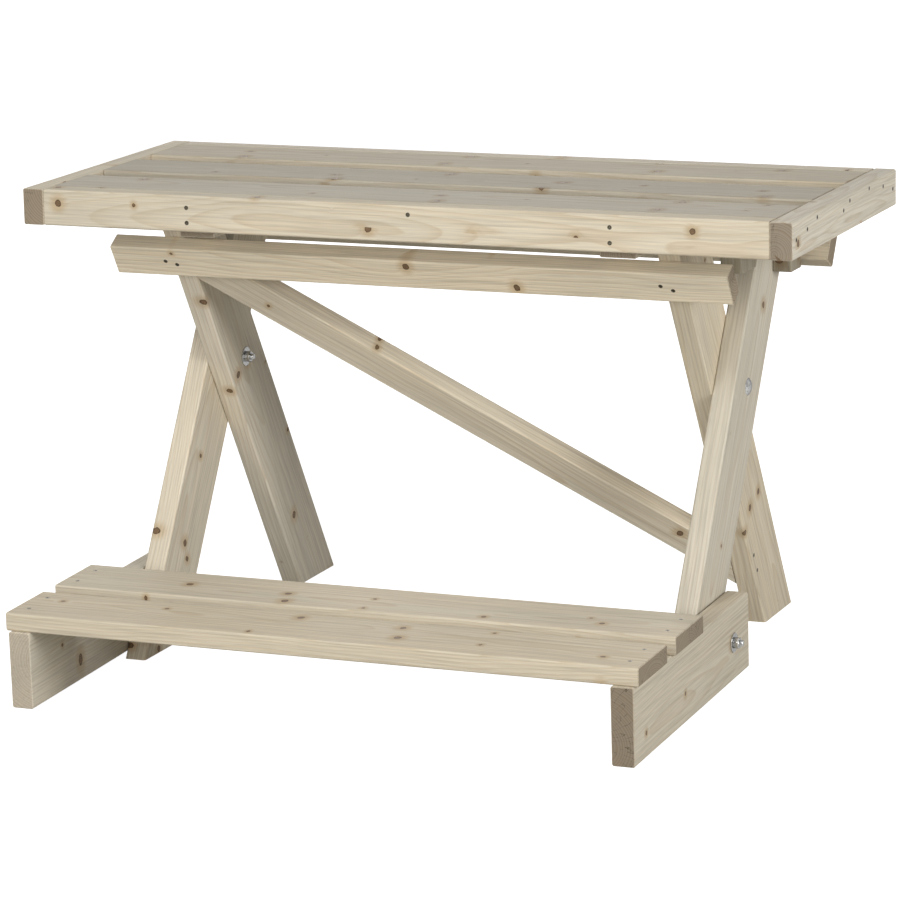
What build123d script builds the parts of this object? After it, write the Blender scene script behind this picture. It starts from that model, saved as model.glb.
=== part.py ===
from build123d import *
import math
import os

# Potting bench in millimetres. X runs along the bench, Y towards the back, Z up from the ground.
# Everything is drawn about the middle of the table top and centred as a whole when it is saved.

# table top
top_length = 1500
top_depth = 636
top_height = 880
rail_thick = 42
rail_height = 68
plank_thick = 34
plank_width = 142
batten_width = 70
batten_height = 51
batten_x = 413

# crossed legs
leg_width = 142
leg_thick = 42
leg_angle = 58.7
leg_outer_x = 552
cross_y = 32
cross_z = 510

# bars, brace and the blocks between the legs and the top
bar_thick = 38
bar_height = 66
front_bar_top_s = 365
rear_bar_top_s = 350
front_bar_half = 608
rear_bar_half = 640
brace_height = 70
brace_thick = 38
brace_middle_s = -53.5
brace_slope = 37.3
wedge_front_y = 0
wedge_bottom_z = 726
outer_block_thick = 38
outer_block_y = 209
outer_block_width = 60
outer_block_bottom_z = 700

# step in front of the legs, measured along its own side boards
step_front_y = -724
step_tilt = 1.45
side_height = 142
side_thick = 42
side_length = 620
step_half = 604
step_plank_width = 148
step_plank_thick = 34
step_plank_gap = 44
step_plank_setback = 6
pivot_along = 532
pivot_up = 71

# fasteners
bolt_radius = 6
dome_radius = 16.5
dome_height = 7
washer_radius = 18.5
washer_thick = 2.5
nut_flats = 19
nut_thick = 10
bolt_stick_out = 6
running_gap = 0.08
face_gap = 0.2
screw_head_radius = 4.2
screw_head_depth = 3.5
screw_radius = 2.2
edge_radius = 4
end_ease = 1.5

# worked out from the sizes above
angle = math.radians(leg_angle)
tilt = math.radians(step_tilt)
half_length = top_length / 2
half_depth = top_depth / 2
plank_half = half_length - rail_thick
rail_inner_y = half_depth - rail_thick
plank_gap = (2 * rail_inner_y - 3 * plank_width) / 2
plank_middles = [-rail_inner_y + plank_width / 2 + i * (plank_width + plank_gap) for i in range(3)]
plank_under_z = top_height - plank_thick
half_breadth = leg_width / 2 / math.sin(angle)
inner_leg_outer_x = leg_outer_x - leg_thick
leg_inner_x = inner_leg_outer_x - leg_thick
side_inner_x = leg_outer_x + washer_thick + face_gap
side_mid_x = side_inner_x + side_thick / 2
side_outer_x = side_inner_x + side_thick
foot_back_y = cross_y + cross_z / math.tan(angle) + half_breadth
dome_sphere = (dome_radius**2 + dome_height**2) / (2 * dome_height)
table_y = -(foot_back_y + step_front_y - side_height * math.sin(tilt)) / 2

# the planes of the two leg pairs: x along the bench, y up the leg, z out of the face that looks forward
inner_plane = Plane(
    origin=(0, cross_y, cross_z), x_dir=(1, 0, 0), z_dir=(0, -math.sin(angle), -math.cos(angle))
)
outer_plane = Plane(
    origin=(0, cross_y, cross_z), x_dir=(1, 0, 0), z_dir=(0, -math.sin(angle), math.cos(angle))
)
# the plane of the step's side boards: x along the board from its front, y up, z along the bench
step_plane = Plane(
    origin=(0, step_front_y, 0), x_dir=(0, math.cos(tilt), math.sin(tilt)), z_dir=(1, 0, 0)
)
pivot = step_plane.from_local_coords((pivot_along, pivot_up, 0))

os.makedirs("parts", exist_ok=True)


def save(builder, name):
    """Writes one piece, moved so that the whole bench is centred front to back."""
    placed = builder.part.moved(Location((0, table_y, 0)))
    placed.label = name
    export_step(placed, f"parts/{name}.step")


def screw_group(seats):
    """Countersunk wood screws: each seat is a plane on the timber looking outwards, with a length."""
    with BuildPart() as group:
        for seat, length in seats:
            with BuildSketch(seat):
                Circle(screw_head_radius)
            with BuildSketch(seat.offset(-screw_head_depth)):
                Circle(screw_radius)
            loft()
            with BuildSketch(seat.offset(-screw_head_depth)):
                Circle(screw_radius)
            extrude(amount=-(length - screw_head_depth))
    return group


def board(low, high, long_axis, holes):
    """A straight board between two corners, its long edges and its ends eased, with its screw holes."""
    size = [high[i] - low[i] for i in range(3)]
    middle = tuple((high[i] + low[i]) / 2 for i in range(3))
    with BuildPart() as timber:
        with Locations(middle):
            Box(*size)
        fillet(timber.edges().filter_by(long_axis), radius=edge_radius)
        ends = timber.faces().filter_by(long_axis)
        chamfer(ends.edges(), length=end_ease)
        add(holes.part, mode=Mode.SUBTRACT)
    return timber


def rings(seats, outline, thick):
    """Washers or nuts: each stands on its seat plane and is bored for the bolt."""
    with BuildPart() as group:
        for seat in seats:
            with BuildSketch(seat):
                add(outline)
                Circle(bolt_radius, mode=Mode.SUBTRACT)
            extrude(amount=thick)
    return group


def dome_bolts(seats, length):
    """Bolts turned in one piece: domed heads on their seat planes, shanks going the other way."""
    with BuildPart() as group:
        for seat in seats:
            with BuildSketch(Plane(origin=seat.origin, x_dir=seat.x_dir, z_dir=-seat.y_dir)):
                with BuildLine():
                    Polyline(
                        (0, dome_height),
                        (0, -length),
                        (bolt_radius, -length),
                        (bolt_radius, 0),
                        (dome_radius, 0),
                    )
                    RadiusArc((0, dome_height), (dome_radius, 0), dome_sphere)
                make_face()
            revolve(axis=Axis(seat.origin, seat.z_dir))
    return group


def bore(y, z, radius):
    """A round hole along the bench, right across its width."""
    with BuildPart() as hole:
        with BuildSketch(Plane(origin=(0, y, z), z_dir=(1, 0, 0))):
            Circle(radius)
        extrude(amount=half_length, both=True)
    return hole


def side_seats(x, y, z, sense):
    """A pair of planes at both ends of the bench, looking outwards (sense 1) or inwards (-1)."""
    return [
        Plane(origin=(side * x, y, z), x_dir=(0, 0, 1), z_dir=(side * sense, 0, 0)) for side in (-1, 1)
    ]


# ---- screws through the rails of the table top ----
plank_mid_z = top_height - plank_thick / 2
rail_mid_z = top_height - rail_height / 2
batten_screw_z = plank_under_z - 17
batten_places = [
    (x, z) for x in (-batten_x, batten_x) for z in (plank_mid_z - 6, batten_screw_z)
]
rail_places = batten_places + [(28, plank_mid_z)]
end_places = [
    (-half_depth + rail_thick / 2, rail_mid_z),
    (half_depth - rail_thick / 2, rail_mid_z),
    (plank_middles[0] - 28, plank_mid_z - 8),
    (plank_middles[0] + 30, plank_mid_z + 4),
    (plank_middles[1] - 16, plank_mid_z - 9),
    (plank_middles[1] + 22, plank_mid_z + 3),
    (plank_middles[2] - 62, plank_mid_z + 7),
    (plank_middles[2] + 28, plank_mid_z - 3),
]
rail_screw_length = rail_thick + 38
rail_seats = [
    (Plane(origin=(x, side * half_depth, z), z_dir=(0, side, 0)), rail_screw_length)
    for side in (-1, 1)
    for x, z in rail_places
]
end_seats = [
    (Plane(origin=(side * half_length, y, z), z_dir=(side, 0, 0)), rail_screw_length)
    for side in (-1, 1)
    for y, z in end_places
]
rail_screws = screw_group(rail_seats)
end_screws = screw_group(end_seats)
save(rail_screws, "rail_screws")
save(end_screws, "end_screws")
with BuildPart() as top_holes:
    add(rail_screws.part)
    add(end_screws.part)

# ---- table top: frame, planks and cross battens ----
for name, side in (("left_end_rail", -1), ("right_end_rail", 1)):
    middle_x = side * (half_length - rail_thick / 2)
    low = (middle_x - rail_thick / 2, -half_depth, top_height - rail_height)
    high = (middle_x + rail_thick / 2, half_depth, top_height)
    save(board(low, high, Axis.Y, top_holes), name)

for name, side in (("front_rail", -1), ("rear_rail", 1)):
    middle_y = side * (half_depth - rail_thick / 2)
    low = (-plank_half, middle_y - rail_thick / 2, top_height - rail_height)
    high = (plank_half, middle_y + rail_thick / 2, top_height)
    save(board(low, high, Axis.X, top_holes), name)

for name, middle in zip(("front_plank", "middle_plank", "rear_plank"), plank_middles):
    low = (-plank_half, middle - plank_width / 2, plank_under_z)
    high = (plank_half, middle + plank_width / 2, top_height)
    save(board(low, high, Axis.X, top_holes), name)

for name, x in (("left_batten", -batten_x), ("right_batten", batten_x)):
    low = (x - batten_width / 2, -rail_inner_y, plank_under_z - batten_height)
    high = (x + batten_width / 2, rail_inner_y, plank_under_z)
    save(board(low, high, Axis.Y, top_holes), name)

# ---- screws of the bars and of the brace ----
inner_leg_mid_x = inner_leg_outer_x - leg_thick / 2
outer_leg_mid_x = leg_outer_x - leg_thick / 2
front_bar_mid_s = front_bar_top_s - bar_height / 2
rear_bar_mid_s = rear_bar_top_s - bar_height / 2
bar_places = (
    (inner_plane, inner_leg_mid_x, front_bar_mid_s, 1),
    (outer_plane, outer_leg_mid_x, rear_bar_mid_s, -1),
)
bar_seats = []
for plane, leg_x, mid_s, sense in bar_places:
    for x, up in ((-leg_x - 11, 3), (-leg_x + 11, -4), (leg_x - 11, 4), (leg_x + 11, -5)):
        origin = plane.from_local_coords((x, mid_s + up, sense * (leg_width / 2 + bar_thick)))
        bar_seats.append((Plane(origin=origin, z_dir=plane.z_dir * sense), bar_thick + 45))
bar_screws = screw_group(bar_seats)
save(bar_screws, "bar_screws")

brace_rise = math.tan(math.radians(brace_slope))
brace_mid_off = leg_width / 2 - brace_thick / 2
brace_seats = []
for side in (-1, 1):
    end_s = brace_middle_s - side * leg_inner_x * brace_rise
    for along in (-20, 20):
        origin = inner_plane.from_local_coords((side * inner_leg_outer_x, end_s + along, brace_mid_off))
        brace_seats.append((Plane(origin=origin, z_dir=(side, 0, 0)), leg_thick + 45))
brace_screws = screw_group(brace_seats)
save(brace_screws, "brace_screws")

# ---- bolts, washers and nuts of the leg crossings ----
with BuildSketch() as washer_outline:
    Circle(washer_radius)
with BuildSketch() as nut_outline:
    RegularPolygon(nut_flats / 2, 6, major_radius=False)

crossing_length = leg_outer_x - leg_inner_x + washer_thick + nut_thick + bolt_stick_out
crossing_bolts = dome_bolts(side_seats(leg_outer_x, cross_y, cross_z, 1), crossing_length)
save(crossing_bolts, "crossing_bolts")
crossing_washers = rings(
    side_seats(leg_inner_x, cross_y, cross_z, -1), washer_outline.sketch, washer_thick
)
save(crossing_washers, "crossing_washers")
crossing_nuts = rings(
    side_seats(leg_inner_x - washer_thick, cross_y, cross_z, -1), nut_outline.sketch, nut_thick
)
save(crossing_nuts, "crossing_nuts")
crossing_bore = bore(cross_y, cross_z, bolt_radius)

# ---- bolts, washers and nuts the step turns on ----
outer_washer_x = side_outer_x + face_gap
pivot_length = outer_washer_x + washer_thick + nut_thick + bolt_stick_out - inner_leg_outer_x
pivot_bolts = dome_bolts(side_seats(inner_leg_outer_x, pivot.Y, pivot.Z, -1), pivot_length)
save(pivot_bolts, "pivot_bolts")
washer_seats = side_seats(leg_outer_x, pivot.Y, pivot.Z, 1)
washer_seats += side_seats(outer_washer_x, pivot.Y, pivot.Z, 1)
pivot_washers = rings(washer_seats, washer_outline.sketch, washer_thick)
save(pivot_washers, "pivot_washers")
pivot_nuts = rings(
    side_seats(outer_washer_x + washer_thick, pivot.Y, pivot.Z, 1), nut_outline.sketch, nut_thick
)
save(pivot_nuts, "pivot_nuts")
pivot_bore = bore(pivot.Y, pivot.Z, bolt_radius)
running_bore = bore(pivot.Y, pivot.Z, bolt_radius + running_gap)

# ---- screws of the blocks between the legs and the top ----
block_seats = []
for side in (-1, 1):
    for z in (outer_block_bottom_z + 40, plank_under_z - 40):
        origin = (side * (leg_outer_x + outer_block_thick), outer_block_y, z)
        block_seats.append((Plane(origin=origin, z_dir=(side, 0, 0)), outer_block_thick + 32))
block_screws = screw_group(block_seats)
save(block_screws, "block_screws")

# ---- legs ----


def leg(side, lean, outside_x, cutters):
    """One leg, its foot and head cut level. A lean of 1 goes back on its way up, -1 forward."""
    foot_y = cross_y - lean * cross_z / math.tan(angle)
    head_y = cross_y + lean * (plank_under_z - cross_z) / math.tan(angle)
    profile = [(foot_y - half_breadth, 0), (foot_y + half_breadth, 0)]
    if head_y + half_breadth > rail_inner_y:
        plumb_z = cross_z + (rail_inner_y - half_breadth - cross_y) * math.tan(angle)
        profile += [(rail_inner_y, plumb_z), (rail_inner_y, plank_under_z)]
    else:
        profile += [(head_y + half_breadth, plank_under_z)]
    profile += [(head_y - half_breadth, plank_under_z)]
    with BuildPart() as timber:
        with BuildSketch(Plane.YZ.offset(side * (outside_x - leg_thick / 2))):
            with BuildLine():
                Polyline(*profile, close=True)
            make_face()
        extrude(amount=leg_thick / 2, both=True)
        long_edges = timber.edges().filter_by(lambda edge: edge.length > top_height / 2)
        fillet(long_edges, radius=edge_radius)
        for cutter in cutters:
            add(cutter.part, mode=Mode.SUBTRACT)
    return timber


for name, side in (("left_inner_leg", -1), ("right_inner_leg", 1)):
    cutters = (crossing_bore, bar_screws, brace_screws)
    save(leg(side, -1, inner_leg_outer_x, cutters), name)
for name, side in (("left_outer_leg", -1), ("right_outer_leg", 1)):
    cutters = (crossing_bore, pivot_bore, bar_screws, block_screws)
    save(leg(side, 1, leg_outer_x, cutters), name)

# ---- bars across each pair of legs, and the brace between the inner legs ----
for name, plane, half, mid_s, sense in (
    ("front_bar", inner_plane, front_bar_half, front_bar_mid_s, 1),
    ("rear_bar", outer_plane, rear_bar_half, rear_bar_mid_s, -1),
):
    with BuildPart() as bar:
        with BuildSketch(plane.offset(sense * leg_width / 2)):
            with Locations((0, mid_s)):
                Rectangle(2 * half, bar_height)
        extrude(amount=sense * bar_thick)
        fillet(bar.edges().filter_by(Axis.X), radius=edge_radius)
        chamfer(bar.faces().filter_by(Axis.X).edges(), length=end_ease)
        add(bar_screws.part, mode=Mode.SUBTRACT)
    save(bar, name)

brace_half_s = brace_height / 2 / math.cos(math.radians(brace_slope))
upper_s = brace_middle_s + leg_inner_x * brace_rise
lower_s = brace_middle_s - leg_inner_x * brace_rise
with BuildPart() as brace:
    with BuildSketch(inner_plane.offset(leg_width / 2 - brace_thick)):
        with BuildLine():
            Polyline(
                (-leg_inner_x, upper_s - brace_half_s),
                (leg_inner_x, lower_s - brace_half_s),
                (leg_inner_x, lower_s + brace_half_s),
                (-leg_inner_x, upper_s + brace_half_s),
                close=True,
            )
        make_face()
    extrude(amount=brace_thick)
    fillet(brace.edges().filter_by(lambda edge: edge.length > leg_inner_x), radius=edge_radius)
    add(brace_screws.part, mode=Mode.SUBTRACT)
save(brace, "diagonal_brace")

# ---- blocks that carry the top beside the outer legs ----
face_low_y = cross_y + (wedge_bottom_z - cross_z) / math.tan(angle) - half_breadth
face_high_y = cross_y + (plank_under_z - cross_z) / math.tan(angle) - half_breadth
for name, side in (("left_wedge_block", -1), ("right_wedge_block", 1)):
    with BuildPart() as wedge:
        with BuildSketch(Plane.YZ.offset(side * outer_leg_mid_x)):
            with BuildLine():
                Polyline(
                    (wedge_front_y, wedge_bottom_z),
                    (face_low_y, wedge_bottom_z),
                    (face_high_y, plank_under_z),
                    (wedge_front_y, plank_under_z),
                    close=True,
                )
            make_face()
        extrude(amount=leg_thick / 2, both=True)
        front_edges = wedge.edges().filter_by(Axis.Z)
        fillet(front_edges, radius=edge_radius)
    save(wedge, name)

for name, side in (("left_outer_block", -1), ("right_outer_block", 1)):
    block_x = side * (leg_outer_x + outer_block_thick / 2)
    half_thick = outer_block_thick / 2
    half_width = outer_block_width / 2
    low = (block_x - half_thick, outer_block_y - half_width, outer_block_bottom_z)
    high = (block_x + half_thick, outer_block_y + half_width, plank_under_z)
    save(board(low, high, Axis.Z, block_screws), name)

# ---- step: two planks on two side boards, turning on the pivot bolts ----
plank_starts = (step_plank_setback, step_plank_setback + step_plank_width + step_plank_gap)
step_seats = []
for start in plank_starts:
    for side in (-1, 1):
        for along in (38, step_plank_width - 38):
            local = (start + along, side_height + step_plank_thick, side * side_mid_x)
            seat = Plane(origin=step_plane.from_local_coords(local), z_dir=step_plane.y_dir)
            step_seats.append((seat, step_plank_thick + 46))
step_screws = screw_group(step_seats)
save(step_screws, "step_screws")

for name, side in (("left_step_board", -1), ("right_step_board", 1)):
    with BuildPart() as step_board:
        with BuildSketch(step_plane.offset(side * side_mid_x)):
            with Locations((side_length / 2, side_height / 2)):
                Rectangle(side_length, side_height)
        extrude(amount=side_thick / 2, both=True)
        long_edges = step_board.edges().filter_by(lambda edge: edge.length > side_length / 2)
        fillet(long_edges, radius=edge_radius)
        along = step_board.faces().sort_by(Axis(step_plane.origin, step_plane.x_dir))
        chamfer(along[0].edges() + along[-1].edges(), length=end_ease)
        add(running_bore.part, mode=Mode.SUBTRACT)
        add(step_screws.part, mode=Mode.SUBTRACT)
    save(step_board, name)

for name, start in zip(("step_front_plank", "step_rear_plank"), plank_starts):
    with BuildPart() as step_plank:
        with BuildSketch(step_plane):
            with Locations((start + step_plank_width / 2, side_height + step_plank_thick / 2)):
                Rectangle(step_plank_width, step_plank_thick)
        extrude(amount=step_half, both=True)
        fillet(step_plank.edges().filter_by(Axis.X), radius=edge_radius)
        chamfer(step_plank.faces().filter_by(Axis.X).edges(), length=end_ease)
        add(step_screws.part, mode=Mode.SUBTRACT)
    save(step_plank, name)
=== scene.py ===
import math
import random

import bmesh
import bpy
import numpy as np
from mathutils import Matrix, Vector


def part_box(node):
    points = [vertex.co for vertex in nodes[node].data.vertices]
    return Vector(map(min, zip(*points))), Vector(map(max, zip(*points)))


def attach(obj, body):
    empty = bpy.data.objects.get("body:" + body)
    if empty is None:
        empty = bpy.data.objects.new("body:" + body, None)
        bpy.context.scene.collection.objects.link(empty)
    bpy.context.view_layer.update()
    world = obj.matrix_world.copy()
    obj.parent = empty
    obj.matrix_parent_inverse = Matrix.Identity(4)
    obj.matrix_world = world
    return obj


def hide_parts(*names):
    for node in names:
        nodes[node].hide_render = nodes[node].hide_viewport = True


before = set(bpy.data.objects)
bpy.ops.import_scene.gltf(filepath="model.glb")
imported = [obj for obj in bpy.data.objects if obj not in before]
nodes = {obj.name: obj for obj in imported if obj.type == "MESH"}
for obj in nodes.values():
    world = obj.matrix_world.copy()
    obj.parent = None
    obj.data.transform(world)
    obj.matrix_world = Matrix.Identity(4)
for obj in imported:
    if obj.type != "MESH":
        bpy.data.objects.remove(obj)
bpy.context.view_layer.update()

print("frame loaded:", len(nodes), "nodes")


# ------- node helpers -------


def setOrLink(tree, socket, value):
    if isinstance(value, bpy.types.NodeSocket):
        tree.links.new(value, socket)
    elif value is not None:
        socket.default_value = value


def calc(tree, operation, *values, clamp=False):
    node = tree.nodes.new("ShaderNodeMath")
    node.operation = operation
    node.use_clamp = clamp
    for socket, value in zip(node.inputs, values):
        setOrLink(tree, socket, value)
    return node.outputs[0]


def vectorCalc(tree, operation, a, b=None):
    node = tree.nodes.new("ShaderNodeVectorMath")
    node.operation = operation
    setOrLink(tree, node.inputs[0], a)
    setOrLink(tree, node.inputs[1], b)
    return node.outputs["Value" if operation in ("DOT_PRODUCT", "LENGTH") else "Vector"]


def ramp(tree, value, low, high, toLow=0.0, toHigh=1.0, smooth=True):
    node = tree.nodes.new("ShaderNodeMapRange")
    node.interpolation_type = "SMOOTHSTEP" if smooth else "LINEAR"
    for socket, v in zip(node.inputs, (value, low, high, toLow, toHigh)):
        setOrLink(tree, socket, v)
    return node.outputs[0]


def noise(tree, vector, scale, detail=2.0, roughness=0.5, output="Fac"):
    node = tree.nodes.new("ShaderNodeTexNoise")
    setOrLink(tree, node.inputs["Vector"], vector)
    setOrLink(tree, node.inputs["Scale"], scale)
    setOrLink(tree, node.inputs["Detail"], detail)
    setOrLink(tree, node.inputs["Roughness"], roughness)
    return node.outputs[output]


def joinXyz(tree, x, y, z):
    node = tree.nodes.new("ShaderNodeCombineXYZ")
    for socket, value in zip(node.inputs, (x, y, z)):
        setOrLink(tree, socket, value)
    return node.outputs[0]


def splitXyz(tree, vector):
    node = tree.nodes.new("ShaderNodeSeparateXYZ")
    setOrLink(tree, node.inputs[0], vector)
    return node.outputs


def mixColor(tree, factor, a, b, blend="MIX"):
    node = tree.nodes.new("ShaderNodeMix")
    node.data_type = "RGBA"
    node.blend_type = blend
    setOrLink(tree, node.inputs["Factor"], factor)
    setOrLink(tree, node.inputs["A"], a)
    setOrLink(tree, node.inputs["B"], b)
    return node.outputs["Result"]


def newGroup(name, inputs, outputs):
    tree = bpy.data.node_groups.new(name, "ShaderNodeTree")
    for label, kind, default in inputs:
        socket = tree.interface.new_socket(label, in_out="INPUT", socket_type=kind)
        if default is not None:
            socket.default_value = default
    for label, kind in outputs:
        tree.interface.new_socket(label, in_out="OUTPUT", socket_type=kind)
    return tree, tree.nodes.new("NodeGroupInput").outputs, tree.nodes.new("NodeGroupOutput").inputs


# ------- softwood: growth rings round a pith, knots, fibres and end grain -------

softwood = {
    "ringGap": 0.0046,
    "earlyColor": (0.76, 0.685, 0.55, 1),
    "lateColor": (0.60, 0.475, 0.315, 1),
    "knotRim": (0.085, 0.05, 0.028, 1),
    "knotCore": (0.27, 0.17, 0.095, 1),
    "streakColor": (0.40, 0.335, 0.235, 1),
    "stainColor": (0.56, 0.52, 0.42, 1),
    "knotSpacing": 0.21,
    "knotAngle": 0.5,
    "largestKnot": 0.0078,
    "roughness": 0.6,
    "endDarkening": 0.54,
    "endTint": (0.62, 0.42, 0.24, 1),
    "bumpDepth": 0.0006,
    "bumpStrength": 0.55,
    "wanderReach": 0.05,
    "wanderScale": (1.5, 3.0, 3.0),
    "knotRandomness": 0.95,
    "knotShare": 0.42,
    "smallestKnot": 0.0005,
    "knotWobbleScale": 160.0,
    "knotWobble": 0.004,
    "knotPull": 1.1,
    "knotRings": 4.0,
    "unevenScale": 70.0,
    "unevenRings": 2.4,
    "rippleScale": (9.0, 55.0, 55.0),
    "rippleRings": 0.35,
    "lateSharpness": 2.6,
    "fibreScale": (13.0, 620.0, 620.0),
    "fibreContrast": 0.28,
    "streakScale": (2.6, 95.0, 95.0),
    "streakShare": 0.30,
    "cloudScale": (1.6, 9.0, 9.0),
    "threadScale": (6.0, 260.0, 260.0),
    "threadLow": 0.87,
    "threadHigh": 1.05,
    "lateShare": 0.70,
    "lateEndShare": 0.85,
    "endTintShare": 0.35,
    "crackTurns": 7.0,
    "crackReach": 14.0,
    "crackWidth": 0.012,
    "crackDarkness": 0.6,
    "specular": 0.15,
    "seedSlant": 1.7,
    "knotAppears": (0.0022, 0.0035),
    "knotEdge": (0.85, 1.05),
    "knotRimZone": (0.62, 0.9),
    "knotRingZone": (0.3, 0.9),
    "knotHalo": (0.9, 3.6),
    "pullPower": 1.4,
    "pullFade": -0.5,
    "lateFade": (0.90, 1.0),
    "streakZone": (0.50, 0.74),
    "stainZone": (0.4, 0.7),
    "threadZone": (0.30, 0.62),
    "crackZone": (0.45, 0.6),
    "endFacing": (0.6, 0.85),
    "fibreRoughness": 0.25,
    "knotSmoothness": 0.15,
    "fibreRelief": 0.6,
    "lateRelief": 0.35,
    "crackRelief": 1.5,
}


def softwoodGroup():
    tree, given, put = newGroup(
        "softwoodGrain",
        [
            ("Board Position", "NodeSocketVector", None),
            ("Pith Y", "NodeSocketFloat", 0.0),
            ("Pith Z", "NodeSocketFloat", -0.05),
            ("Seed", "NodeSocketFloat", 0.0),
            ("Ring Gap", "NodeSocketFloat", softwood["ringGap"]),
            ("Early Wood", "NodeSocketColor", softwood["earlyColor"]),
            ("Late Wood", "NodeSocketColor", softwood["lateColor"]),
            ("Stain", "NodeSocketFloat", 0.2),
            ("End Grain", "NodeSocketFloat", 0.0),
        ],
        [
            ("Color", "NodeSocketColor"),
            ("Roughness", "NodeSocketFloat"),
            ("Height", "NodeSocketFloat"),
        ],
    )
    position, seed, endGrain = given["Board Position"], given["Seed"], given["End Grain"]
    x, y, z = splitXyz(tree, position)
    seedShift = joinXyz(tree, seed, calc(tree, "MULTIPLY", seed, softwood["seedSlant"]), 0)
    shifted = vectorCalc(tree, "ADD", position, seedShift)

    # the trunk is never straight: the pith wanders along the board
    slow = vectorCalc(tree, "MULTIPLY", shifted, softwood["wanderScale"])
    wander = splitXyz(tree, noise(tree, slow, 1.0, 2.0, 0.45, "Color"))
    wanderY = calc(tree, "MULTIPLY", calc(tree, "SUBTRACT", wander[0], 0.5), softwood["wanderReach"])
    wanderZ = calc(tree, "MULTIPLY", calc(tree, "SUBTRACT", wander[1], 0.5), softwood["wanderReach"])
    ringY = calc(tree, "ADD", calc(tree, "SUBTRACT", y, given["Pith Y"]), wanderY)
    ringZ = calc(tree, "ADD", calc(tree, "SUBTRACT", z, given["Pith Z"]), wanderZ)
    radius = calc(
        tree, "SQRT", calc(tree, "ADD", calc(tree, "MULTIPLY", ringY, ringY), calc(tree, "MULTIPLY", ringZ, ringZ))
    )
    turn = calc(tree, "ARCTAN2", ringY, ringZ)

    # knots are branches that start at the pith, so they lie at one place along and one angle around it
    cell = tree.nodes.new("ShaderNodeTexVoronoi")
    cell.voronoi_dimensions = "2D"
    cell.inputs["Scale"].default_value = 1.0
    cell.inputs["Randomness"].default_value = softwood["knotRandomness"]
    alongCell = calc(tree, "ADD", calc(tree, "DIVIDE", x, softwood["knotSpacing"]), seed)
    turnCell = calc(tree, "DIVIDE", turn, softwood["knotAngle"])
    tree.links.new(joinXyz(tree, alongCell, turnCell, 0), cell.inputs["Vector"])
    knotX, knotTurn, _ = splitXyz(tree, cell.outputs["Position"])
    awayX = calc(tree, "MULTIPLY", calc(tree, "SUBTRACT", alongCell, knotX), softwood["knotSpacing"])
    awayTurn = calc(tree, "MULTIPLY", calc(tree, "SUBTRACT", turnCell, knotTurn), softwood["knotAngle"])
    awayY = calc(tree, "MULTIPLY", awayTurn, radius)
    away = calc(
        tree, "SQRT", calc(tree, "ADD", calc(tree, "MULTIPLY", awayX, awayX), calc(tree, "MULTIPLY", awayY, awayY))
    )
    chance = splitXyz(tree, cell.outputs["Color"])[0]
    smallest, largest = softwood["smallestKnot"], softwood["largestKnot"]
    knotSize = ramp(tree, chance, softwood["knotShare"], 1.0, smallest, largest, smooth=False)
    wobble = calc(tree, "SUBTRACT", noise(tree, shifted, softwood["knotWobbleScale"]), 0.5)
    wobble = calc(tree, "MULTIPLY", wobble, softwood["knotWobble"])
    knotReach = calc(tree, "DIVIDE", calc(tree, "ADD", away, wobble), knotSize)
    hasKnot = ramp(tree, knotSize, *softwood["knotAppears"])
    knotMask = calc(tree, "MULTIPLY", ramp(tree, knotReach, *softwood["knotEdge"], 1.0, 0.0), hasKnot)
    knotRim = calc(tree, "MULTIPLY", ramp(tree, knotReach, *softwood["knotRimZone"]), knotMask)
    pull = calc(tree, "MULTIPLY", calc(tree, "POWER", knotReach, softwood["pullPower"]), softwood["pullFade"])
    pull = calc(tree, "EXPONENT", pull)
    pull = calc(tree, "MULTIPLY", calc(tree, "MULTIPLY", pull, knotSize), softwood["knotPull"])

    # rings of uneven width, each fading to a dark late line and starting pale again
    bent = calc(tree, "ADD", radius, pull)
    outwards = calc(tree, "MULTIPLY", bent, softwood["unevenScale"])
    uneven = noise(tree, joinXyz(tree, outwards, seed, 0), 1.0, 1.0)
    ripple = noise(tree, vectorCalc(tree, "MULTIPLY", shifted, softwood["rippleScale"]), 1.0, 2.0)
    ringCount = calc(tree, "DIVIDE", bent, given["Ring Gap"])
    ringCount = calc(tree, "ADD", ringCount, calc(tree, "MULTIPLY", uneven, softwood["unevenRings"]))
    ringCount = calc(tree, "ADD", ringCount, calc(tree, "MULTIPLY", ripple, softwood["rippleRings"]))
    ringPart = calc(tree, "FRACT", ringCount)
    lateRise = calc(tree, "POWER", ringPart, softwood["lateSharpness"])
    late = calc(tree, "MULTIPLY", lateRise, ramp(tree, ringPart, *softwood["lateFade"], 1.0, 0.0))
    fibres = noise(tree, vectorCalc(tree, "MULTIPLY", shifted, softwood["fibreScale"]), 1.0, 3.0, 0.6)
    streaks = noise(tree, vectorCalc(tree, "MULTIPLY", shifted, softwood["streakScale"]), 1.0, 4.0, 0.6)
    clouds = noise(tree, vectorCalc(tree, "MULTIPLY", shifted, softwood["cloudScale"]), 1.0, 2.0)
    threads = noise(tree, vectorCalc(tree, "MULTIPLY", shifted, softwood["threadScale"]), 1.0, 3.0, 0.65)

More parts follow.
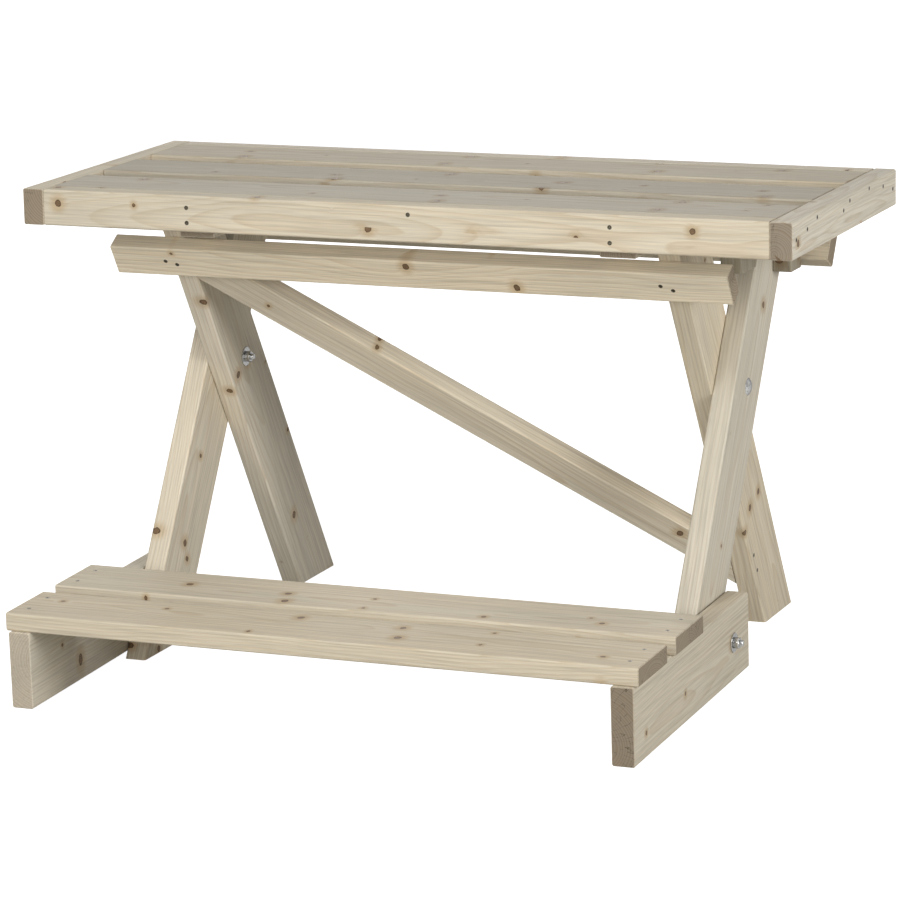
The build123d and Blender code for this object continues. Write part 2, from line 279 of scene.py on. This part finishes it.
    longGrain = calc(tree, "SUBTRACT", 1.0, endGrain)
    shareLeft = calc(tree, "MULTIPLY", endGrain, 1 - softwood["lateShare"])
    lateShare = calc(tree, "MULTIPLY", late, calc(tree, "ADD", softwood["lateShare"], shareLeft))
    wood = mixColor(tree, lateShare, given["Early Wood"], given["Late Wood"])
    streakShare = ramp(tree, streaks, *softwood["streakZone"], 0.0, softwood["streakShare"])
    streakShare = calc(tree, "MULTIPLY", streakShare, longGrain)
    wood = mixColor(tree, streakShare, wood, softwood["streakColor"])
    stainShare = calc(tree, "MULTIPLY", ramp(tree, clouds, *softwood["stainZone"]), given["Stain"])
    wood = mixColor(tree, stainShare, wood, softwood["stainColor"])
    halo = calc(tree, "MULTIPLY", ramp(tree, knotReach, *softwood["knotHalo"], 1.0, 0.0), hasKnot)
    wood = mixColor(tree, halo, wood, given["Late Wood"])
    knotRings = calc(tree, "FRACT", calc(tree, "MULTIPLY", knotReach, softwood["knotRings"]))
    knotRings = ramp(tree, knotRings, *softwood["knotRingZone"])
    core = mixColor(tree, knotRings, softwood["knotCore"], softwood["knotRim"])
    knotColor = mixColor(tree, knotRim, core, softwood["knotRim"])
    wood = mixColor(tree, knotMask, wood, knotColor)
    fibreContrast = softwood["fibreContrast"]
    light = calc(tree, "ADD", 1 - fibreContrast / 2, calc(tree, "MULTIPLY", fibres, fibreContrast))
    threadLight = ramp(tree, threads, *softwood["threadZone"], softwood["threadLow"], softwood["threadHigh"])
    light = calc(tree, "MULTIPLY", light, threadLight)
    light = calc(tree, "ADD", calc(tree, "MULTIPLY", light, longGrain), endGrain)
    endShade = calc(tree, "MULTIPLY", endGrain, softwood["endDarkening"])
    light = calc(tree, "MULTIPLY", light, calc(tree, "SUBTRACT", 1.0, endShade))
    lateEnd = calc(tree, "MULTIPLY", calc(tree, "MULTIPLY", late, endGrain), softwood["lateEndShare"])
    wood = mixColor(tree, lateEnd, wood, softwood["streakColor"])
    tintShare = calc(tree, "MULTIPLY", endGrain, softwood["endTintShare"])
    wood = mixColor(tree, tintShare, wood, softwood["endTint"])

    # drying cracks run out from the pith on cut ends
    crackTurn = calc(tree, "MULTIPLY", turn, softwood["crackTurns"])
    crackOut = calc(tree, "MULTIPLY", radius, softwood["crackReach"])
    crackNoise = noise(tree, joinXyz(tree, crackTurn, crackOut, seed), 1.0, 2.0)
    crackAway = calc(tree, "ABSOLUTE", calc(tree, "SUBTRACT", crackNoise, 0.5))
    crack = ramp(tree, crackAway, 0.0, softwood["crackWidth"], 1.0, 0.0)
    cracked = ramp(tree, clouds, *softwood["crackZone"])
    crack = calc(tree, "MULTIPLY", calc(tree, "MULTIPLY", crack, endGrain), cracked)
    crackShade = calc(tree, "MULTIPLY", crack, softwood["crackDarkness"])
    light = calc(tree, "MULTIPLY", light, calc(tree, "SUBTRACT", 1.0, crackShade))
    shade = joinXyz(tree, light, light, light)
    tree.links.new(mixColor(tree, 1.0, wood, shade, "MULTIPLY"), put["Color"])

    fibreRough = calc(tree, "MULTIPLY", calc(tree, "SUBTRACT", fibres, 0.5), softwood["fibreRoughness"])
    rough = calc(tree, "ADD", softwood["roughness"], fibreRough)
    rough = calc(tree, "SUBTRACT", rough, calc(tree, "MULTIPLY", knotMask, softwood["knotSmoothness"]))
    tree.links.new(rough, put["Roughness"])
    fibreHeight = calc(tree, "MULTIPLY", fibres, calc(tree, "MULTIPLY", longGrain, softwood["fibreRelief"]))
    height = calc(tree, "ADD", fibreHeight, calc(tree, "MULTIPLY", late, softwood["lateRelief"]))
    height = calc(tree, "SUBTRACT", height, calc(tree, "MULTIPLY", crack, softwood["crackRelief"]))
    tree.links.new(height, put["Height"])
    return tree


def boardMaterial(name, group, grain, flat, centre, pith, seed, tint, stain, cutEnd):
    side = flat.cross(grain)
    turnBoard = Matrix((grain, side, flat)).transposed().to_euler()
    material = bpy.data.materials.new(name)
    material.use_nodes = True
    tree = material.node_tree
    shader = tree.nodes["Principled BSDF"]
    coords = tree.nodes.new("ShaderNodeTexCoord")
    mapping = tree.nodes.new("ShaderNodeMapping")
    mapping.vector_type = "TEXTURE"
    mapping.inputs["Location"].default_value = centre
    mapping.inputs["Rotation"].default_value = turnBoard
    tree.links.new(coords.outputs["Object"], mapping.inputs["Vector"])
    facing = calc(tree, "ABSOLUTE", vectorCalc(tree, "DOT_PRODUCT", coords.outputs["Normal"], tuple(grain)))
    wood = tree.nodes.new("ShaderNodeGroup")
    wood.node_tree = group
    tree.links.new(mapping.outputs[0], wood.inputs["Board Position"])
    wood.inputs["Pith Y"].default_value = pith[0]
    wood.inputs["Pith Z"].default_value = pith[1]
    wood.inputs["Seed"].default_value = seed
    wood.inputs["Stain"].default_value = stain
    wood.inputs["Early Wood"].default_value = [c * t for c, t in zip(softwood["earlyColor"][:3], tint)] + [1]
    wood.inputs["Late Wood"].default_value = [c * t for c, t in zip(softwood["lateColor"][:3], tint)] + [1]
    tree.links.new(ramp(tree, facing, *softwood["endFacing"], 0.0, cutEnd), wood.inputs["End Grain"])
    bump = tree.nodes.new("ShaderNodeBump")
    bump.inputs["Strength"].default_value = softwood["bumpStrength"]
    bump.inputs["Distance"].default_value = softwood["bumpDepth"]
    tree.links.new(wood.outputs["Height"], bump.inputs["Height"])
    tree.links.new(wood.outputs["Color"], shader.inputs["Base Color"])
    tree.links.new(wood.outputs["Roughness"], shader.inputs["Roughness"])
    tree.links.new(bump.outputs[0], shader.inputs["Normal"])
    shader.inputs["Specular IOR Level"].default_value = softwood["specular"]
    return material


bench = {
    "legAngle": math.radians(58.7),
    "stepTilt": math.radians(1.45),
    "braceSlope": math.radians(37.3),
}
alongX, alongY, alongZ = Vector((1, 0, 0)), Vector((0, 1, 0)), Vector((0, 0, 1))
legLean = math.cos(bench["legAngle"])
legRise = math.sin(bench["legAngle"])
innerUp, innerFront = Vector((0, -legLean, legRise)), Vector((0, -legRise, -legLean))
outerUp, outerFront = Vector((0, legLean, legRise)), Vector((0, -legRise, legLean))
braceRun = (alongX * math.cos(bench["braceSlope"]) - innerUp * math.sin(bench["braceSlope"])).normalized()
stepRun = Vector((0, math.cos(bench["stepTilt"]), math.sin(bench["stepTilt"])))
stepUp = Vector((0, -math.sin(bench["stepTilt"]), math.cos(bench["stepTilt"])))

# each board: which way its grain runs, which way its flat face looks, and where its pith lies (side, depth)
boards = {
    "front_rail": (alongX, alongY, (0.012, 0.046)),
    "rear_rail": (alongX, alongY, (-0.02, -0.05)),
    "left_end_rail": (alongY, alongX, (0.03, 0.045)),
    "right_end_rail": (alongY, alongX, (-0.019, -0.010)),
    "front_plank": (alongX, alongZ, (0.02, -0.055)),
    "middle_plank": (alongX, alongZ, (-0.012, -0.04)),
    "rear_plank": (alongX, alongZ, (0.03, -0.062)),
    "left_batten": (alongY, alongX, (0.01, 0.03)),
    "right_batten": (alongY, alongX, (-0.02, 0.04)),
    "left_inner_leg": (innerUp, alongX, (0.015, -0.05)),
    "right_inner_leg": (innerUp, alongX, (-0.025, -0.06)),
    "left_outer_leg": (outerUp, alongX, (0.02, -0.045)),
    "right_outer_leg": (outerUp, alongX, (-0.01, -0.052)),
    "front_bar": (alongX, innerFront, (0.03, -0.05)),
    "rear_bar": (alongX, outerFront, (0.02, 0.05)),
    "diagonal_brace": (braceRun, innerFront, (-0.015, -0.045)),
    "left_wedge_block": (alongZ, alongX, (0.03, 0.05)),
    "right_wedge_block": (alongZ, alongX, (-0.03, 0.05)),
    "left_outer_block": (alongZ, alongX, (0.02, 0.04)),
    "right_outer_block": (alongZ, alongX, (0.01, -0.03)),
    "left_step_board": (stepRun, alongX, (0.02, 0.06)),
    "right_step_board": (stepRun, alongX, (-0.03, -0.05)),
    "step_front_plank": (alongX, stepUp, (0.01, -0.06)),
    "step_rear_plank": (alongX, stepUp, (-0.02, -0.045)),
}
boardLook = {
    "toneSpread": 0.07,
    "coolest": -0.02,
    "warmest": 0.03,
    "stain": 0.35,
    "stainLow": 0.4,
    "stainHigh": 1.6,
    "seed": 21,
    "firstSeed": 3.1,
    "seedStep": 1.37,
}

# tone of a board against plain new wood, with painted shade in the tones of the blocks under the top, and how much
# of the cut-end look its ends show
boardToneAndPaintedShade = {
    "front_rail": 0.94,
    # the top planks are set darker than the rails
    "front_plank": 0.73,
    "middle_plank": 0.68,
    "rear_plank": 0.70,
    "front_bar": 1.16,
    "rear_bar": 0.85,
    "left_inner_leg": 1.08,
    "right_outer_leg": 0.95,
    "diagonal_brace": 0.96,
    # painted shade: the wedge and outer blocks sit under the top, and their dark tone stands in for its shade
    "left_wedge_block": 0.42,
    "right_wedge_block": 0.42,
    "left_outer_block": 0.42,
    "right_outer_block": 0.42,
    "right_step_board": 0.77,
    "step_front_plank": 0.89,
    "step_rear_plank": 0.92,
}
endShare = {"left_step_board": 0.35}

grainGroup = softwoodGroup()
tones = random.Random(boardLook["seed"])
for number, (name, (grain, flat, pith)) in enumerate(boards.items()):
    low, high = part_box(name)
    spread = boardLook["toneSpread"]
    tone = boardToneAndPaintedShade.get(name, 1.0) * (1 + tones.uniform(-spread, spread))
    warmth = tones.uniform(boardLook["coolest"], boardLook["warmest"])
    tint = (tone * (1 + warmth), tone, tone * (1 - 2 * warmth))
    stain = boardLook["stain"] * tones.uniform(boardLook["stainLow"], boardLook["stainHigh"])
    seed, cutEnd = boardLook["firstSeed"] + number * boardLook["seedStep"], endShare.get(name, 1.0)
    centre = (low + high) / 2
    material = boardMaterial("pine_" + name, grainGroup, grain, flat, centre, pith, seed, tint, stain, cutEnd)
    boardObject = nodes[name]
    boardObject.data.materials.clear()
    boardObject.data.materials.append(material)
print("softwood:", len(boards), "boards")


# ------- metal finishes -------


metal = {
    "spangleShare": 0.25,
    "dullShare": 0.85,
    "toneZone": (0.2, 0.95),
    "rimPaintedShadeZone": (0.45, 0.9),
    "dullZone": (0.3, 0.7),
    "bumpStrength": 0.25,
    "bumpDepth": 0.0002,
}


def metalMaterial(name, look):
    material = bpy.data.materials.new(name)
    material.use_nodes = True
    tree = material.node_tree
    shader = tree.nodes["Principled BSDF"]
    place = tree.nodes.new("ShaderNodeTexCoord").outputs["Object"]
    spangle = tree.nodes.new("ShaderNodeTexVoronoi")
    spangle.inputs["Scale"].default_value = look["spangle"]
    tree.links.new(place, spangle.inputs["Vector"])
    grey = splitXyz(tree, spangle.outputs["Color"])[0]
    dull = noise(tree, place, look["dulling"], 4.0, 0.6)
    spangled = calc(tree, "MULTIPLY", grey, metal["spangleShare"])
    mottle = calc(tree, "ADD", spangled, calc(tree, "MULTIPLY", dull, metal["dullShare"]))
    tone = ramp(tree, mottle, *metal["toneZone"])
    color = mixColor(tree, tone, look["dark"], look["light"])
    # painted shade: the colour darkens towards grazing view angles at the rims, standing in for shade on the
    # rounded edges
    edge = tree.nodes.new("ShaderNodeLayerWeight").outputs["Facing"]
    rim = ramp(tree, edge, *metal["rimPaintedShadeZone"], 1.0, look["rimPaintedShade"])
    withPaintedRimShade = mixColor(tree, 1.0, color, joinXyz(tree, rim, rim, rim), "MULTIPLY")
    tree.links.new(withPaintedRimShade, shader.inputs["Base Color"])
    rough = ramp(tree, dull, *metal["dullZone"], look["smoothest"], look["roughest"])
    tree.links.new(rough, shader.inputs["Roughness"])
    bump = tree.nodes.new("ShaderNodeBump")
    bump.inputs["Strength"].default_value = metal["bumpStrength"]
    bump.inputs["Distance"].default_value = metal["bumpDepth"]
    tree.links.new(dull, bump.inputs["Height"])
    tree.links.new(bump.outputs[0], shader.inputs["Normal"])
    shader.inputs["Metallic"].default_value = look["metallic"]
    return material


zincLook = {
    "spangle": 420.0,
    "dulling": 260.0,
    "dark": (0.33, 0.33, 0.32, 1),
    "light": (0.82, 0.82, 0.81, 1),
    "smoothest": 0.1,
    "roughest": 0.26,
    "metallic": 0.97,
    "rimPaintedShade": 0.25,
}
screwLook = {
    "spangle": 900.0,
    "dulling": 600.0,
    "dark": (0.04, 0.035, 0.026, 1),
    "light": (0.17, 0.15, 0.11, 1),
    "smoothest": 0.22,
    "roughest": 0.38,
    "metallic": 0.85,
    "rimPaintedShade": 0.6,
}
zinc = metalMaterial("galvanisedZinc", zincLook)
screwSteel = metalMaterial("platedScrew", screwLook)


# ------- turned and pressed metal pieces, in millimetres, standing on their seat and looking up Z -------

hardware = {
    "boltRadius": 6.0,
    "threadPitch": 1.75,
    "threadDepth": 0.55,
    "threadLength": 24.0,
    "threadStep": 0.35,
    "domeRadius": 16.5,
    "domeHeight": 7.0,
    "nutFlats": 19.0,
    "nutThick": 10.0,
    "washerRadius": 18.5,
    "washerThick": 2.5,
    "screwHead": 4.2,
    "screwShank": 2.2,
    "screwConeDepth": 3.5,
    "driveRadius": 2.0,
    "driveDepth": 1.9,
    "screwPoint": 0.3,
    "screwTaper": 6.0,
    "screwSink": 0.02,
    "headEdge": 0.25,
    "headBevel": 0.3,
    "driveDraft": 0.94,
    "boreGap": 0.02,
    "nutBevel": 0.9,
    "nutCrown": 0.99,
    "nutBoreBevel": 0.5,
    "washerLowEdge": 0.35,
    "washerHighEdge": (0.5, 0.45),
    "washerBoreBevel": 0.3,
    "boltTipBevel": 1.2,
    "domeLip": 0.4,
    "domeRings": (0.0, 0.12, 0.25, 0.4, 0.55, 0.7, 0.85, 0.97),
    "domeEdge": 0.25,
}


def turned(name, rings, segments, hollow=False):
    builder = bmesh.new()
    loops = []
    for ring in rings:
        loop = []
        for i in range(segments):
            around = 2 * math.pi * i / segments
            radius, height = ring(around)
            loop.append(
                builder.verts.new(
                    (radius * math.cos(around) / 1000, radius * math.sin(around) / 1000, height / 1000)
                )
            )
        loops.append(loop)
    pairs = list(zip(loops, loops[1:]))
    if hollow:
        pairs.append((loops[-1], loops[0]))
    for lower, upper in pairs:
        for i in range(segments):
            j = (i + 1) % segments
            builder.faces.new((lower[i], lower[j], upper[j], upper[i]))
    if not hollow:
        builder.faces.new(list(reversed(loops[0])))
        builder.faces.new(loops[-1])
    bmesh.ops.recalc_face_normals(builder, faces=builder.faces)
    mesh = bpy.data.meshes.new(name)
    builder.to_mesh(mesh)
    builder.free()
    mesh.shade_smooth()
    mesh.set_sharp_from_angle(angle=math.radians(35))
    return bpy.data.objects.new(name, mesh)


def fixedRing(radius, height):
    return lambda around: (radius, height)


def hexRing(height, limit=100.0):
    half, sixth = hardware["nutFlats"] / 2, math.pi / 3

    def ring(around):
        fromFlat = (around + sixth / 2) % sixth - sixth / 2
        return min(limit, half / math.cos(fromFlat)), height

    return ring


def starRing(radius, height):
    return lambda around: (radius * (1 + 0.16 * math.cos(6 * around)), height)


def threadRing(height):
    def ring(around):
        phase = (height / hardware["threadPitch"] - around / (2 * math.pi)) % 1
        return hardware["boltRadius"] - hardware["threadDepth"] * abs(2 * phase - 1), height

    return ring


def makeScrew(name, length):
    head, shank, cone = hardware["screwHead"], hardware["screwShank"], hardware["screwConeDepth"]
    drive, deep = hardware["driveRadius"], hardware["driveDepth"]
    point, sink, edge = hardware["screwPoint"], hardware["screwSink"], hardware["headEdge"]
    rings = [
        fixedRing(point, -length),
        fixedRing(shank, hardware["screwTaper"] - length),
        fixedRing(shank, -cone),
        fixedRing(head - 0.05, -edge),
        fixedRing(head - hardware["headBevel"], -sink),
        starRing(drive + 0.15, -sink),
        starRing(drive, -edge),
        starRing(drive * hardware["driveDraft"], -deep),
        fixedRing(point, -deep - 0.4),
    ]
    return turned(name, rings, 36)


def makeNut(name):
    thick, inside = hardware["nutThick"], hardware["boltRadius"] + hardware["boreGap"]
    across, bevel = hardware["nutFlats"] / 2, hardware["nutBevel"]
    crown, boreBevel = across * hardware["nutCrown"], hardware["nutBoreBevel"]
    rings = [
        fixedRing(inside, 0),
        hexRing(0, crown),
        hexRing(bevel),
        hexRing(thick - bevel),
        hexRing(thick, crown),
        fixedRing(inside + boreBevel, thick),
        fixedRing(inside, thick - boreBevel),
    ]
    return turned(name, rings, 48, hollow=True)


def makeWasher(name):
    edge, thick = hardware["washerRadius"], hardware["washerThick"]
    inside, boreBevel = hardware["boltRadius"] + hardware["boreGap"], hardware["washerBoreBevel"]
    low, (highIn, highDown) = hardware["washerLowEdge"], hardware["washerHighEdge"]
    rings = [
        fixedRing(inside, 0),
        fixedRing(edge - low, 0),
        fixedRing(edge, low),
        fixedRing(edge, thick - highDown),
        fixedRing(edge - highIn, thick),
        fixedRing(inside + boreBevel, thick),
        fixedRing(inside, thick - boreBevel),
    ]
    return turned(name, rings, 64, hollow=True)


def makeBolt(name, length):
    radius, dome, tall = hardware["boltRadius"], hardware["domeRadius"], hardware["domeHeight"]
    threadStart = hardware["threadLength"] - length
    rings = [fixedRing(radius - hardware["boltTipBevel"], -length)]
    step = hardware["threadStep"]
    for i in range(3, int(hardware["threadLength"] / step)):
        rings.append(threadRing(-length + i * step))
    rings.append(fixedRing(radius, threadStart + 0.5))
    rings.append(fixedRing(radius, 0))
    rings.append(fixedRing(dome - hardware["domeLip"], 0))
    sphere = (dome**2 + tall**2) / (2 * tall)
    for part in hardware["domeRings"]:
        across = dome * (1 - part)
        lift = math.sqrt(sphere**2 - across**2) - (sphere - tall)
        rings.append(fixedRing(across, max(hardware["domeEdge"], lift)))
    return turned(name, rings, 40)


# ------- one tree sets any fastener on its seats -------


def fastenerTree():
    tree = bpy.data.node_groups.new("setFasteners", "GeometryNodeTree")
    tree.interface.new_socket("Geometry", in_out="INPUT", socket_type="NodeSocketGeometry")
    tree.interface.new_socket("Fastener", in_out="INPUT", socket_type="NodeSocketObject")
    tree.interface.new_socket("Finish", in_out="INPUT", socket_type="NodeSocketMaterial")
    tree.interface.new_socket("Spin Seed", in_out="INPUT", socket_type="NodeSocketInt")
    tree.interface.new_socket("Spin Limit", in_out="INPUT", socket_type="NodeSocketFloat")
    tree.interface.new_socket("Geometry", in_out="OUTPUT", socket_type="NodeSocketGeometry")
    given = tree.nodes.new("NodeGroupInput").outputs
    facing = tree.nodes.new("GeometryNodeInputNamedAttribute")
    facing.data_type = "FLOAT_VECTOR"
    facing.inputs["Name"].default_value = "facing"
    aim = tree.nodes.new("FunctionNodeAlignRotationToVector")
    aim.axis = "Z"
    tree.links.new(facing.outputs[0], aim.inputs["Vector"])
    spin = tree.nodes.new("FunctionNodeRandomValue")
    spin.data_type = "FLOAT"
    tree.links.new(given["Spin Limit"], spin.inputs[3])
    tree.links.new(given["Spin Seed"], spin.inputs["Seed"])
    turnBy = tree.nodes.new("FunctionNodeAxisAngleToRotation")
    turnBy.inputs["Axis"].default_value = (0, 0, 1)
    tree.links.new(spin.outputs[1], turnBy.inputs["Angle"])
    both = tree.nodes.new("FunctionNodeRotateRotation")
    both.rotation_space = "LOCAL"
    tree.links.new(aim.outputs[0], both.inputs["Rotation"])
    tree.links.new(turnBy.outputs[0], both.inputs["Rotate By"])
    piece = tree.nodes.new("GeometryNodeObjectInfo")
    tree.links.new(given["Fastener"], piece.inputs["Object"])
    place = tree.nodes.new("GeometryNodeInstanceOnPoints")
    tree.links.new(given["Geometry"], place.inputs["Points"])
    tree.links.new(piece.outputs["Geometry"], place.inputs["Instance"])
    tree.links.new(both.outputs[0], place.inputs["Rotation"])
    real = tree.nodes.new("GeometryNodeRealizeInstances")
    tree.links.new(place.outputs[0], real.inputs[0])
    paint = tree.nodes.new("GeometryNodeSetMaterial")
    tree.links.new(real.outputs[0], paint.inputs["Geometry"])
    tree.links.new(given["Finish"], paint.inputs["Material"])
    tree.links.new(paint.outputs[0], tree.nodes.new("NodeGroupOutput").inputs[0])
    return tree


setFasteners = fastenerTree()
socketNames = {item.name: item.identifier for item in setFasteners.interface.items_tree if item.in_out == "INPUT"}


def setOnSeats(name, seats, fastener, finish, spinSeed, spinLimit):
    seatMesh = bpy.data.meshes.new(name + "Seats")
    seatMesh.from_pydata([tuple(point) for point, _ in seats], [], [])
    facing = seatMesh.attributes.new("facing", "FLOAT_VECTOR", "POINT")
    facing.data.foreach_set("vector", np.array([tuple(look) for _, look in seats], np.float32).ravel())
    holder = bpy.data.objects.new(name + "Seats", seatMesh)
    bpy.context.scene.collection.objects.link(holder)
    modifier = holder.modifiers.new("set", "NODES")
    modifier.node_group = setFasteners
    modifier[socketNames["Fastener"]] = fastener
    modifier[socketNames["Finish"]] = finish
    modifier[socketNames["Spin Seed"]] = spinSeed
    modifier[socketNames["Spin Limit"]] = spinLimit
    bpy.context.view_layer.update()
    evaluated = holder.evaluated_get(bpy.context.evaluated_depsgraph_get())
    mesh = bpy.data.meshes.new_from_object(evaluated)
    bpy.data.objects.remove(holder)
    mesh.name = name
    made = bpy.data.objects.new(name, mesh)
    bpy.context.scene.collection.objects.link(made)
    return made


def islands(nodeName):
    copy = bmesh.new()
    copy.from_mesh(nodes[nodeName].data)
    bmesh.ops.remove_doubles(copy, verts=copy.verts, dist=1e-6)
    left = set(copy.verts)
    found = []
    while left:
        queue = [left.pop()]
        island = []
        while queue:
            vertex = queue.pop()
            island.append(tuple(vertex.co))
            for edge in vertex.link_edges:
                other = edge.other_vert(vertex)
                if other in left:
                    left.remove(other)
                    queue.append(other)
        found.append(np.array(island))
    copy.free()
    return sorted(found, key=lambda points: tuple(points.mean(0).round(4)))


def screwSeats(nodeName):
    seats = []
    for points in islands(nodeName):
        middle = (points.max(0) + points.min(0)) / 2
        axis = np.linalg.svd(points - points.mean(0))[2][0]
        along = (points - middle) @ axis
        spread = np.linalg.norm(points - middle - np.outer(along, axis), axis=1)
        if spread[along > 0].max() < spread[along < 0].max():
            axis, along = -axis, -along
        rim = points[along > along.max() - 1e-5]
        seats.append((Vector((rim.max(0) + rim.min(0)) / 2), Vector(axis), along.max() - along.min()))
    return seats


def crossSeats(nodeName, sense, rise=0.0):
    seats = []
    for points in islands(nodeName):
        low, high = points.min(0), points.max(0)
        look = sense * (1 if low[0] + high[0] > 0 else -1)
        end = high[0] - rise if rise else low[0]
        if look < 0:
            end = low[0] + rise if rise else high[0]
        centre = Vector((end, (low[1] + high[1]) / 2, (low[2] + high[2]) / 2))
        seats.append((centre, Vector((look, 0, 0)), high[0] - low[0]))
    return seats


screwGroups = {
    "rail_screws": "bench",
    "end_screws": "bench",
    "bar_screws": "bench",
    "brace_screws": "bench",
    "block_screws": "bench",
    "step_screws": "step",
}
for number, (nodeName, body) in enumerate(screwGroups.items()):
    found = screwSeats(nodeName)
    screw = makeScrew(nodeName + "Piece", found[0][2] * 1000 - 0.1)
    seats = [(place, look) for place, look, _ in found]
    screws = setOnSeats("set_" + nodeName, seats, screw, screwSteel, 5 + number, math.pi / 3)
    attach(screws, body)
    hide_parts(nodeName)
print("screws set")

dome = hardware["domeHeight"] / 1000
boltGroups = {"crossing_bolts": 1, "pivot_bolts": -1}
for number, (nodeName, sense) in enumerate(boltGroups.items()):
    found = crossSeats(nodeName, sense, dome)
    bolt = makeBolt(nodeName + "Piece", (found[0][2] - dome) * 1000)
    bolts = setOnSeats("set_" + nodeName, [s[:2] for s in found], bolt, zinc, 31 + number, 2 * math.pi)
    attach(bolts, "bench")
    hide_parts(nodeName)
nut = makeNut("nutPiece")
for number, (nodeName, sense) in enumerate({"crossing_nuts": -1, "pivot_nuts": 1}.items()):
    found = crossSeats(nodeName, sense)
    nuts = setOnSeats("set_" + nodeName, [s[:2] for s in found], nut, zinc, 41 + number, math.pi / 3)
    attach(nuts, "bench")
    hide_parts(nodeName)
washer = makeWasher("washerPiece")
for number, (nodeName, sense) in enumerate({"crossing_washers": -1, "pivot_washers": 1}.items()):
    found = crossSeats(nodeName, sense)
    washers = setOnSeats("set_" + nodeName, [s[:2] for s in found], washer, zinc, 51 + number, math.pi)
    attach(washers, "bench")
    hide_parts(nodeName)
print("bolts, nuts and washers set")


# ------- floor, lights and camera -------

studio = {
    "floorSize": 60.0,
    "floorColor": (0.50, 0.50, 0.49, 1),
    "floorGlow": 1.0,
    "mirroredFloor": 0.5,
    "worldColor": (1.0, 1.0, 1.0, 1),
    "worldStrength": 0.18,
    "mirrorStrength": 0.6,
}


def makeFloor():
    half = studio["floorSize"] / 2
    mesh = bpy.data.meshes.new("floor")
    mesh.from_pydata([(-half, -half, 0), (half, -half, 0), (half, half, 0), (-half, half, 0)], [], [(0, 1, 2, 3)])
    floor = bpy.data.objects.new("floor", mesh)
    bpy.context.scene.collection.objects.link(floor)
    material = bpy.data.materials.new("paleFloor")
    material.use_nodes = True
    tree = material.node_tree
    shader = tree.nodes["Principled BSDF"]
    shader.inputs["Base Color"].default_value = studio["floorColor"]
    shader.inputs["Roughness"].default_value = 0.9
    shader.inputs["Specular IOR Level"].default_value = 0.1
    shader.inputs["Emission Color"].default_value = (1, 1, 1, 1)
    rays = tree.nodes.new("ShaderNodeLightPath").outputs
    mirrored = calc(tree, "MULTIPLY", rays["Is Glossy Ray"], studio["mirroredFloor"])
    seen = calc(tree, "MAXIMUM", rays["Is Camera Ray"], mirrored)
    tree.links.new(calc(tree, "MULTIPLY", seen, studio["floorGlow"]), shader.inputs["Emission Strength"])
    mesh.materials.append(material)
    floor.location.z = -0.0005


def areaLight(name, place, target, size, power, color):
    light = bpy.data.lights.new(name, "AREA")
    light.shape = "RECTANGLE"
    light.size, light.size_y = size
    light.energy = power
    light.color = color
    lamp = bpy.data.objects.new(name, light)
    lamp.location = place
    lamp.rotation_euler = (Vector(target) - Vector(place)).to_track_quat("-Z", "Y").to_euler()
    bpy.context.scene.collection.objects.link(lamp)


makeFloor()

# each lamp: place, what it looks at, width and height, power, colour
lamps = {
    "frontBox": ((-0.4, -6.3, 1.95), (0, 0, 0.45), (3.4, 2.0), 138, (1.0, 0.995, 0.985)),
    "highBox": ((-0.6, -3.6, 4.2), (0, 0, 0.5), (1.6, 1.2), 88, (1.0, 0.985, 0.96)),
    "rightBox": ((5.2, -1.8, 2.0), (0, 0, 0.6), (2.6, 2.2), 165, (0.99, 0.995, 1.0)),
    "topBox": ((0.0, 0.6, 4.2), (0, 0, 0.4), (4.0, 3.0), 3, (1.0, 0.97, 0.92)),
    "rearBox": ((-2.2, 5.6, 1.9), (0, 0, 0.45), (3.0, 2.2), 55, (1.0, 0.99, 0.97)),
}
for name, (place, target, size, power, color) in lamps.items():
    areaLight(name, place, target, size, power, color)
world = bpy.data.worlds.new("studioAir")
world.use_nodes = True
world.node_tree.nodes["Background"].inputs["Color"].default_value = studio["worldColor"]
mirrored = world.node_tree.nodes.new("ShaderNodeLightPath").outputs["Is Glossy Ray"]
airStrength = ramp(world.node_tree, mirrored, 0.0, 1.0, studio["worldStrength"], studio["mirrorStrength"])
world.node_tree.links.new(airStrength, world.node_tree.nodes["Background"].inputs["Strength"])
bpy.context.scene.world = world
bpy.context.scene.view_settings.view_transform = "Standard"

view = {
    "place": (2.8928, -6.9052, 2.0500),
    "yaw": math.radians(22.507),
    "pitch": math.radians(12.48),
    "roll": math.radians(-1.192),
    "lens": 165.16,
}


def makeCamera():
    yaw, pitch, roll = view["yaw"], view["pitch"], view["roll"]
    ahead = Vector((-math.sin(yaw) * math.cos(pitch), math.cos(yaw) * math.cos(pitch), -math.sin(pitch)))
    right = ahead.cross(alongZ).normalized()
    up = right.cross(ahead)
    rolledRight = right * math.cos(roll) + up * math.sin(roll)
    rolledUp = up * math.cos(roll) - right * math.sin(roll)
    data = bpy.data.cameras.new("viewer")
    data.lens = view["lens"]
    data.sensor_width = 36
    data.clip_end = 200
    viewer = bpy.data.objects.new("viewer", data)
    bpy.context.scene.collection.objects.link(viewer)
    turn = Matrix((rolledRight, rolledUp, -ahead)).transposed().to_4x4()
    viewer.matrix_world = Matrix.Translation(view["place"]) @ turn
    bpy.context.scene.camera = viewer


makeCamera()
print("studio ready")

bpy.context.view_layer.update()
